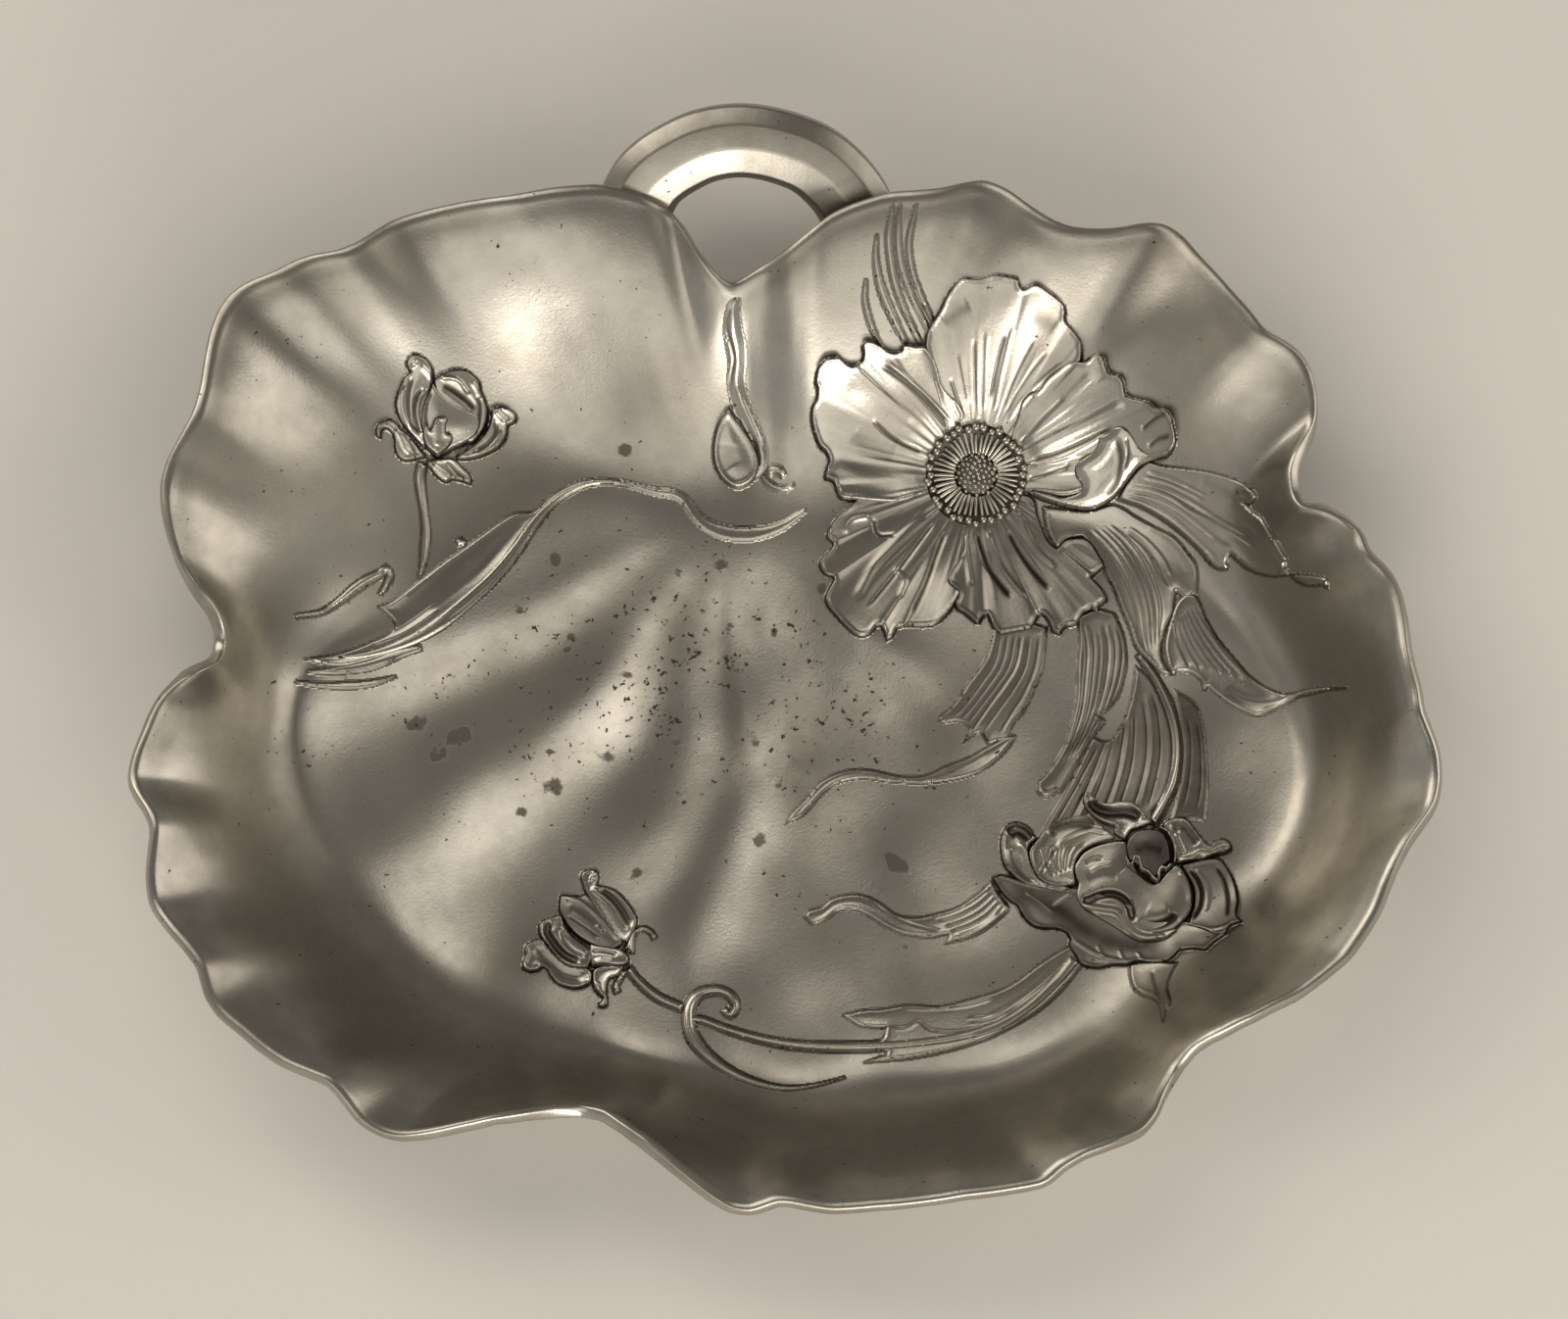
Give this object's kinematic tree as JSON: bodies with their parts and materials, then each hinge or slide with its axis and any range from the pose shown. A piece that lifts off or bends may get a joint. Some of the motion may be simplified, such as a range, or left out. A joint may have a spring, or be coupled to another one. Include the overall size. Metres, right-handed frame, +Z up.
{
  "type": "porringer dish",
  "caption": "Cast pewter leaf-shaped porringer dish with a loop handle at the rim and poppies, buds and ribbon leaves in relief inside.",
  "frame": {"origin": "on the surface the dish stands on, under the middle of its whole outline", "axes": "+Z up, +Y towards the loop handle, +X to the right seen from the front of the dish with the handle at the back"},
  "size_m": [0.2797, 0.2421, 0.0389],
  "materials": {
    "pewter": "satin cast pewter, warm grey, darkened in the hollows",
    "pewter_relief": "satin cast pewter, a little brighter on the high edges"
  },
  "bodies": {
    "root": {"leaf_bowl": "pewter", "handle": "pewter", "half_open_back_petal": "pewter_relief", "half_open_front_petal": "pewter_relief", "half_open_left_petal": "pewter_relief", "half_open_lip": "pewter_relief", "half_open_outer_petal": "pewter_relief", "half_open_right_petal": "pewter_relief", "half_open_seed_pod": "pewter_relief", "half_open_top_petal": "pewter_relief", "leaf_back": "pewter_relief", "leaf_fluted": "pewter_relief", "leaf_hanging_left": "pewter_relief", "leaf_hanging_middle": "pewter_relief", "leaf_low": "pewter_relief", "leaf_right": "pewter_relief", "leaf_strands": "pewter_relief", "leaf_to_rim": "pewter_relief", "left_bud": "pewter_relief", "left_bud_outer_petal": "pewter_relief", "left_bud_sepals": "pewter_relief", "lower_bud": "pewter_relief", "lower_bud_sepals": "pewter_relief", "poppy_anthers": "pewter_relief", "poppy_boss": "pewter_relief", "poppy_petal_curl": "pewter_relief", "poppy_petal_left": "pewter_relief", "poppy_petal_lower_left": "pewter_relief", "poppy_petal_lower_right": "pewter_relief", "poppy_petal_right": "pewter_relief", "poppy_petal_top": "pewter_relief", "poppy_stamens": "pewter_relief", "ribbon_left": "pewter_relief", "ribbon_low": "pewter_relief", "ribbon_middle": "pewter_relief", "stem_drop": "pewter_relief", "stem_half_open": "pewter_relief", "stem_left_bud": "pewter_relief", "stem_long": "pewter_relief", "stem_lower_bud": "pewter_relief", "tendril": "pewter_relief"}
  },
  "joints": []
}
